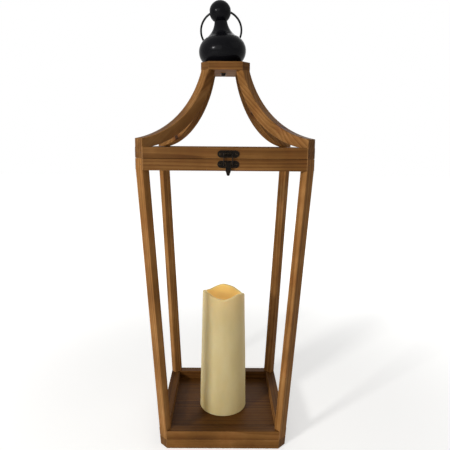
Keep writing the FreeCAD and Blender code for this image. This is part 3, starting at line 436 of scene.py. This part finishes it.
# %% Finishes by slot
finishes = {
    "finial_black": finish(
        "gloss_black_paint", srgb(9, 9, 12), srgb(13, 13, 16), srgb(26, 25, 25), (0.22, 0.32), 0.0008, 0.3,
        45.0, 500.0, 0.00008, Specular_IOR_Level=0.03, Coat_Weight=0.06, Coat_Roughness=0.10),
    "ring_black": finish(
        "black_enamel", srgb(14, 14, 15), srgb(20, 19, 19), srgb(48, 43, 38), (0.35, 0.5), 0.0004, 0.4,
        120.0, 1500.0, 0.00004, Specular_IOR_Level=0.15),
    "bronze": finish(
        "antique_bronze", srgb(17, 14, 11), srgb(25, 19, 14), srgb(130, 106, 74), (0.24, 0.42), 0.0004, 0.5,
        180.0, 1400.0, 0.00005, Metallic=0.75, Specular_IOR_Level=0.15),
    "zinc_steel": finish(
        "zinc_plate", srgb(150, 150, 148), srgb(176, 176, 170), srgb(205, 205, 200), (0.28, 0.42), 0.0004,
        0.5, 220.0, 1600.0, 0.00003, Metallic=1.0),
    "dark_steel": finish(
        "blackened_steel", srgb(34, 31, 29), srgb(46, 41, 37), srgb(96, 88, 78), (0.35, 0.5), 0.0003, 0.4,
        220.0, 1600.0, 0.00003, Metallic=0.8),
    "ivory_plastic": finish(
        "ivory_plastic", srgb(226, 218, 196), srgb(218, 208, 184), srgb(236, 230, 212), (0.42, 0.55),
        0.0006, 0.5, 40.0, 1100.0, 0.00004),
    "black_plastic": finish(
        "black_plastic", srgb(30, 30, 31), srgb(38, 38, 39), srgb(70, 70, 70), (0.4, 0.55), 0.0004, 0.5,
        120.0, 1500.0, 0.00003),
    "board_green": finish(
        "solder_mask", srgb(26, 92, 52), srgb(34, 108, 60), srgb(120, 150, 96), (0.3, 0.45), 0.0004, 0.6,
        260.0, 1800.0, 0.00003),
    "cell_jacket": finish(
        "cell_jacket", srgb(52, 54, 58), srgb(64, 66, 70), srgb(170, 168, 160), (0.25, 0.4), 0.0005, 0.8,
        70.0, 1300.0, 0.00002, Coat_Weight=0.3),
    "contact_metal": finish(
        "nickel", srgb(188, 186, 178), srgb(204, 202, 194), srgb(225, 224, 218), (0.2, 0.32), 0.0004, 0.5,
        220.0, 1600.0, 0.00002, Metallic=1.0),
    "amber_diffuser": finish(
        "frosted_amber", srgb(238, 178, 84), srgb(246, 194, 104), srgb(252, 214, 140), (0.5, 0.65), 0.0006,
        0.5, 90.0, 1200.0, 0.00003, Emission_Color=srgb(255, 170, 60), Emission_Strength=0.55),
    "led_lens": finish(
        "warm_lens", srgb(250, 222, 150), srgb(244, 208, 126), srgb(255, 240, 200), (0.1, 0.2), 0.0004, 0.4,
        200.0, 1500.0, 0.00001, Emission_Color=srgb(255, 196, 92), Emission_Strength=1.2),
}
blackened = ("frame_brads", "lid_brads", "finial_stud", "finial_washer", "finial_nut")
for name, slot in slot_of.items():
    if slot in finishes:
        nodes[name].data.materials.clear()
        nodes[name].data.materials.append(finishes["dark_steel" if name in blackened else slot])
print(len(finishes), "finishes")

# %% [markdown]
# ## Surfaces from arrays
#
# A piece of revolution, like the candle, is a closed outline carried round an axis. The Spin
# tool would do it, but a grid of points worked out in one go with numpy can also
# change with the angle, which a melted rim needs. `skin` turns such a grid into a mesh.

# %% Grid to mesh


def skin(name, grid, material, sharp=None):
    """A closed mesh from grid[row, column] of points, in which both rows and columns come
    back to their start: each cell of the grid becomes one four-sided face. Edges that
    turn by more than sharp (radians) are shaded as corners."""
    rows, columns = grid.shape[:2]
    number = np.arange(rows * columns).reshape(rows, columns)
    across = np.roll(number, -1, axis=1)
    onward = np.roll(number, -1, axis=0)
    both = np.roll(across, -1, axis=0)
    faces = np.stack([number, across, both, onward], axis=-1).reshape(-1, 4)
    mesh = bpy.data.meshes.new(name)
    mesh.from_pydata(grid.reshape(-1, 3).tolist(), [], faces.tolist())
    mesh.polygons.foreach_set("use_smooth", np.ones(len(faces), bool))
    mesh.materials.append(material)
    mesh.validate()
    outward = bmesh.new()
    outward.from_mesh(mesh)
    bmesh.ops.recalc_face_normals(outward, faces=outward.faces)
    outward.to_mesh(mesh)
    outward.free()
    if sharp:
        mesh.set_sharp_from_angle(angle=sharp)
    piece = bpy.data.objects.new(name, mesh)
    bpy.context.scene.collection.objects.link(piece)
    print(f"{name}: {len(faces)} faces")
    return piece


print("grid helper ready")

# %% [markdown]
# ## The candle's wax
#
# Ivory wax, cast as a hollow pillar that narrows slightly, with a rim that looks melted: it
# falls to the right and the rear, and waves up and down three times on its way round. Warm
# lamps glow in its well. They could be real lamps in the scene, but that light is slow to
# gather in a picture, so it is painted on: two masks say where, in the well and near the rim,
# and there the wax is painted amber and made to glow.

# %% Wax masks and colour
board_top = 0.0163
candle_gap = 0.0003
candle_foot = board_top + candle_gap
candle_height = 0.2129
well_depth = 0.052
well_floor = candle_height - well_depth
floor_place = candle_foot + well_floor        # heights above the ground
rim_place = candle_foot + candle_height
fully_inside = 0.0316                         # the well's glow fades out between these radii
fully_outside = 0.0337

material = bpy.data.materials.new("ivory_wax")
material.use_nodes = True
bench = Bench(material.node_tree)
shader = material.node_tree.nodes["Principled BSDF"]
place = bench.add("TexCoord").outputs["Object"]
apart = bench.add("SeparateXYZ", {0: place})
radius = bench.vector("LENGTH", bench.vector("MULTIPLY", place, (1.0, 1.0, 0.0)))
cloud = bench.noise(bench.vector("MULTIPLY", place, (1.0, 1.0, 0.35)), 38.0, 3.0)
colour = bench.mix(bench.step(cloud, 0.3, 0.7), srgb(173, 159, 118), srgb(183, 170, 131))
inside = bench.step(radius, fully_outside, fully_inside)
in_well = bench.math("MULTIPLY", inside, bench.step(apart.outputs[2], floor_place - 0.008, floor_place))
near_rim = bench.step(apart.outputs[2], rim_place - 0.060, rim_place + 0.004)
# painted lamp light: the wax's colour turns amber in the well and near the rim, where the lamps' light would
# fall
painted_lamp_light = bench.math("ADD", bench.math("MULTIPLY", in_well, 0.85), bench.math("MULTIPLY", near_rim, 0.10),
                  clamp=True)
bench.plug(shader.inputs["Base Color"], bench.mix(painted_lamp_light, colour, srgb(196, 166, 88)))
print("wax colour ready")

# %% [markdown]
# All of the wax is given a painted glow, emission that stands in for light spreading
# through it, and the well about twice as much as the outside. Wax also lets the light of the
# room in, so the shader uses subsurface scattering, with red reaching furthest.

# %% Wax glow and surface
# painted glow: emission over all the wax, twice as strong in the well, a little more near the rim
glow = bench.math("ADD", bench.math("MULTIPLY", in_well, 0.13), bench.math("MULTIPLY", near_rim, 0.03))
glow = bench.math("ADD", glow, 0.13)
bench.plug(shader.inputs["Emission Color"], bench.mix(glow, srgb(0, 0, 0), srgb(255, 222, 140)))
shader.inputs["Emission Strength"].default_value = 1.0
shader.inputs["Subsurface Weight"].default_value = 0.7
shader.inputs["Subsurface Radius"].default_value = (0.018, 0.012, 0.007)
shader.inputs["Subsurface Scale"].default_value = 1.0
fine = bench.noise(place, 420.0, 3.0)
bench.plug(shader.inputs["Roughness"], bench.step(fine, 0.3, 0.7, 0.42, 0.56))
bump = bench.add("Bump", {"Height": bench.math("ADD", cloud, bench.math("MULTIPLY", fine, 0.12)),
                          "Distance": 0.0006, "Strength": 0.35})
bench.plug(shader.inputs["Normal"], bump.outputs[0])
shader.inputs["Specular IOR Level"].default_value = 0.3
ivory_wax = material
print("wax material ready")

# %% [markdown]
# The wax mesh is a loop of points in the plane of one angle: up the outside, over
# the round rim, down the well, through the hole for the lamps and back round the space for
# the housing. It is put together from arcs and straight lines.

# %% Arcs and lines


def arc(centre, radius, start, end, count):
    """count points centre + radius (cos a, sin a), for a from start to end in degrees."""
    angle = np.radians(np.linspace(start, end, count))
    return np.stack([centre[0] + radius * np.cos(angle), centre[1] + radius * np.sin(angle)], axis=1)


def run(start, end, count):
    """count points along a straight line, without its last point."""
    share = np.linspace(0.0, 1.0, count, endpoint=False)[:, None]
    return np.array(start) * (1 - share) + np.array(end) * share


print("outline helpers ready")

# %% [markdown]
# The rim's height depends on the angle a round the candle, with x and y on the rim:
# height - fall_right x - fall_rear y + wave cos(3 (a - crest)). Two small ripples with 7 and
# 13 waves take the machine-made look away.

# %% Wax sizes and rim
foot_radius = 0.0409
top_radius = 0.0364
rim_wall = 0.0046
foot_round = 0.0020
rim_round = 0.0022
well_floor_radius = 0.0260
well_underside = well_floor - 0.006
lamp_hole = 0.0080
hollow_radius = 0.0310
housing_bore = 0.0351
housing_height = 0.0230


def outside_radius(height):
    """The pillar narrows evenly: foot radius + (top radius - foot radius) * height / full height."""
    return foot_radius + (top_radius - foot_radius) * height / candle_height


angles = np.linspace(0.0, 2.0 * np.pi, 180, endpoint=False)
x_share = np.cos(angles)
y_share = np.sin(angles)
rim_x = (top_radius - rim_wall / 2) * x_share
rim_y = (top_radius - rim_wall / 2) * y_share
fall_right = 0.055
fall_rear = 0.036
wave_height = 0.0040
crest_angle = np.radians(-35.5)          # one of the three crests is at the front right
wave = wave_height * np.cos(3 * (angles - crest_angle))
rim = candle_height - fall_right * rim_x - fall_rear * rim_y + wave
rim = rim + 0.0003 * np.sin(7 * angles + 2.1) + 0.0002 * np.sin(13 * angles)
print(f"rim between {1000 * rim.min():.1f} and {1000 * rim.max():.1f} mm above the foot")

# %% [markdown]
# All loops side by side make the surface: point (d cos a, d sin a, h) for distance d and
# height h of the loop at angle a. The outside sways by up to 0.3 mm, as cast wax does.

# %% Wax mesh


def wax_loop(rim_height):
    """The closed outline at one angle, as (distance from the axis, height): straight lines
    and arcs, of which those near the rim move up and down with its height there."""
    shoulder = rim_height - rim_round
    outer = outside_radius(shoulder)
    inner = outer - rim_wall
    return np.concatenate([
        arc((foot_radius - foot_round, foot_round), foot_round, -90, 0, 7),
        run((foot_radius, foot_round * 1.4), (outer, shoulder), 46),
        arc((outer - rim_wall / 2, shoulder), rim_wall / 2, 0, 180, 17),
        run((inner, shoulder - 0.0004), (well_floor_radius + 0.002, well_floor + 0.002), 22),
        arc((well_floor_radius, well_floor + 0.002), 0.002, 0, -90, 6),
        run((well_floor_radius - 0.0005, well_floor), (lamp_hole, well_floor), 12),
        run((lamp_hole, well_floor), (lamp_hole, well_underside), 5),
        run((lamp_hole, well_underside), (hollow_radius, well_underside), 8),
        run((hollow_radius, well_underside), (hollow_radius, housing_height), 20),
        run((hollow_radius, housing_height), (housing_bore, housing_height), 3),
        run((housing_bore, housing_height), (housing_bore, 0.0), 6),
        run((housing_bore, 0.0), (foot_radius - foot_round, 0.0), 3)])


loops = np.stack([wax_loop(height) for height in rim])          # [angle, point, (distance, height)]
distance, height = loops[..., 0], loops[..., 1]
share_up = np.clip(height / candle_height, 0, 1)
turn = angles[:, None]
sway = 0.00018 * np.sin(2 * turn + 5.0 * share_up) + 0.00012 * np.sin(5 * turn - 9.0 * share_up)
on_outside = np.clip((distance - hollow_radius) / 0.004, 0, 1) * np.clip(share_up * 6, 0, 1)
distance = distance + sway * on_outside
across, along = distance * x_share[:, None], distance * y_share[:, None]
wax_points = np.stack([across, along, candle_foot + height], axis=-1)
wax = skin("candle_wax_pillar", wax_points, ivory_wax)
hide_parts("candle_wax")
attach(wax, "candle")

# %% [markdown]
# ## The cap board and its bolt
#
# The cap is a small eight-sided board. Between the struts its underside shows, made paler by
# painted light, with the end of the bolt that holds the finial, so in the picture the board
# takes the place of the cap and of the rails under it. Its outline is a square with cut corners,
# drawn smaller and smaller towards the top and bottom to round the edge.

# %% Cap outline
cap_half = 0.0375            # half the width across the flats
corner_leg = 0.0117          # how far each corner cut reaches along a side
cap_round = 0.0009
cap_thickness = 0.0121
lid_low = 0.4619
crown_height = 0.1304        # from the lid's underside to the cap's underside
cap_low = lid_low + crown_height
cap_high = cap_low + cap_thickness
bolt_x = -0.0032             # the finial and its bolt stand a little left of the middle
bolt_radius = 0.0020


def eight_sides(inset, per_side=8):
    """Points along a square with cut corners, all sides moved in by inset: a flat side stands
    at cap_half - inset and ends where it meets the moved corner cuts."""
    flat = cap_half - inset
    near = cap_half - corner_leg + inset * (1 - math.sqrt(2))
    corners = np.array([(flat, -near), (flat, near), (near, flat), (-near, flat),
                        (-flat, near), (-flat, -near), (-near, -flat), (near, -flat)])
    onward = np.roll(corners, -1, axis=0)
    share = np.linspace(0, 1, per_side, endpoint=False)[None, :, None]
    return (corners[:, None] * (1 - share) + onward[:, None] * share).reshape(-1, 2)


def level(plan, height):
    """A row of the grid: points of the plan, all at one height."""
    return np.column_stack([plan, np.full(len(plan), height)])


print(len(eight_sides(0.0)), "points along the cap's outline")

# %% [markdown]
# The rows run from the bolt's hole over the top, round the edge by an angle b, and back
# along the underside to the hole. At angle b the outline is inset by r (1 - sin b) and lies
# r (1 - cos b) below the top, for a rounding of radius r.

# %% Cap mesh
edge = eight_sides(cap_round)
spoke = edge - (bolt_x, 0.0)
hole = spoke / np.linalg.norm(spoke, axis=1)[:, None] * bolt_radius + (bolt_x, 0.0)
shares = (0.0, 0.35, 0.7, 0.97)
bends = np.radians(np.linspace(0, 90, 5))
rows = [level(hole + (edge - hole) * share, cap_high) for share in shares]
for bend in bends:
    outline = eight_sides(cap_round * (1 - math.sin(bend)))
    rows.append(level(outline, cap_high - cap_round * (1 - math.cos(bend))))
for bend in reversed(bends):
    outline = eight_sides(cap_round * (1 - math.sin(bend)))
    rows.append(level(outline, cap_low + cap_round * (1 - math.cos(bend))))
rows += [level(hole + (edge - hole) * share, cap_low) for share in reversed(shares)]
cap = skin("cap_board", np.stack(rows), pine("crown_cap", 3), sharp=0.6)
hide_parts("crown_cap", "crown_rail_front", "crown_rail_left", "crown_rail_rear", "crown_rail_right")
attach(cap, "lid")

# %% [markdown]
# The bolt is a turned outline too: shank, washer and nut, each step a radius, a height
# over the cap's underside, and whether it is round or has six sides. A six-sided outline
# has the radius 1 / cos(a) at angle a from the middle of a side.

# %% Bolt
turns = np.linspace(0, 2 * np.pi, 48, endpoint=False)
six_sided = 1 / np.cos((turns + np.pi / 6) % (np.pi / 3) - np.pi / 6)
steps = [(0.0002, 0.0300, "round"), (bolt_radius, 0.0300, "round"), (bolt_radius, 0.0, "round"),
         (0.0045, 0.0, "round"), (0.0045, -0.0008, "round"), (0.0033, -0.0008, "six"),
         (0.0033, -0.0034, "six"), (0.0028, -0.0040, "round"), (0.0018, -0.0040, "round"),
         (0.0018, -0.0048, "round"), (0.0002, -0.0048, "round")]
rows = []
for size, height, outline in steps:
    radius = size * (six_sided if outline == "six" else 1.0)
    plan = np.column_stack([bolt_x + radius * np.cos(turns), radius * np.sin(turns)])
    rows.append(level(plan, cap_low + height))
bolt = skin("finial_bolt", np.stack(rows), finishes["dark_steel"], sharp=0.6)
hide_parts("finial_stud", "finial_washer", "finial_nut")
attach(bolt, "lid")

# %% [markdown]
# ## Floor, backdrop and light
#
# The photograph has a white background. A white floor would need so much light that the
# lantern washes out, so the floor is pale grey for the light, and through Light Path the
# camera sees white added to it, less near the lantern, so that a faint shadow stays.

# %% Floor


def seen_as_picture(bench):
    """1 for rays from the camera, a reflection or glass, 0 for the light that falls on things."""
    ray = bench.add("LightPath").outputs
    direct = bench.math("MAXIMUM", ray["Is Camera Ray"], ray["Is Glossy Ray"])
    return bench.math("MAXIMUM", direct, ray["Is Transmission Ray"])


bpy.ops.mesh.primitive_plane_add(size=12.0, location=(0, 0, -0.0002))
floor = bpy.context.object
floor.name = "floor"
material = bpy.data.materials.new("pale_floor")
material.use_nodes = True
bench = Bench(material.node_tree)
bench.tree.nodes.remove(bench.tree.nodes["Principled BSDF"])
pale = bench.add("BsdfDiffuse", {"Color": srgb(214, 213, 210)})
from_lantern = bench.vector("LENGTH", bench.add("TexCoord").outputs["Object"])
whiteness = bench.step(from_lantern, 0.25, 1.0, 0.50, 0.86)
white = bench.add("Emission", {"Color": (1, 1, 1, 1), "Strength": whiteness})
shown = seen_as_picture(bench)
both = bench.add("AddShader", {0: pale.outputs[0], 1: white.outputs[0]})
chosen = bench.add("MixShader", {0: shown, 1: pale.outputs[0], 2: both.outputs[0]})
bench.plug(bench.tree.nodes["Material Output"].inputs[0], chosen.outputs[0])
floor.data.materials.append(material)
print("floor ready")

# %% [markdown]
# The world is a plain white room. Seen by the camera or in a reflection it is full white;
# as light on the lantern it is much weaker, so that the lamps can give the wood its shape.

# %% World
world = bpy.data.worlds.new("studio")
bpy.context.scene.world = world
world.use_nodes = True
bench = Bench(world.node_tree)
background = world.node_tree.nodes["Background"]
shown = seen_as_picture(bench)
background.inputs["Color"].default_value = (1, 1, 1, 1)
room_light = 0.27
brighter = bench.math("MULTIPLY", shown, 1 - room_light)
bench.plug(background.inputs["Strength"], bench.math("ADD", room_light, brighter))
print("room light", room_light)

# %% [markdown]
# A small window light from the front left draws the post's shadow down the candle. A large
# soft lamp fills the front, and one each from the right and from behind keep the other
# sides readable. A small lamp draws a sharp shadow, a large one a soft shadow.

# %% Lamps


def lamp(name, azimuth, elevation, distance, size, power):
    """A square area lamp aimed at the lantern's middle. Azimuth 0 is in front, positive to the right."""
    middle = Vector((0, 0, 0.33))
    turn, rise = math.radians(azimuth), math.radians(elevation)
    way = Vector((math.sin(turn) * math.cos(rise), -math.cos(turn) * math.cos(rise), math.sin(rise)))
    light = bpy.data.lights.new(name, "AREA")
    light.size = size
    light.energy = power
    made = bpy.data.objects.new(name, light)
    made.location = middle + way * distance
    made.rotation_euler = way.to_track_quat("Z", "Y").to_euler()
    bpy.context.scene.collection.objects.link(made)
    return made


lamp("window_light", -43.5, 16.0, 2.2, 0.26, 33.0)
lamp("front_light", -20.0, 14.0, 2.4, 1.2, 9.0)
lamp("fill_light", 66.0, 30.0, 2.6, 1.6, 4.0)
lamp("back_light", 170.0, 24.0, 2.6, 1.6, 12.0)
print("lamps ready")

# %% [markdown]
# ## Finish
#
# The picture is shown with the Standard view, so colours come out as written.

# %% Colour management, finish
bpy.context.scene.view_settings.view_transform = "Standard"
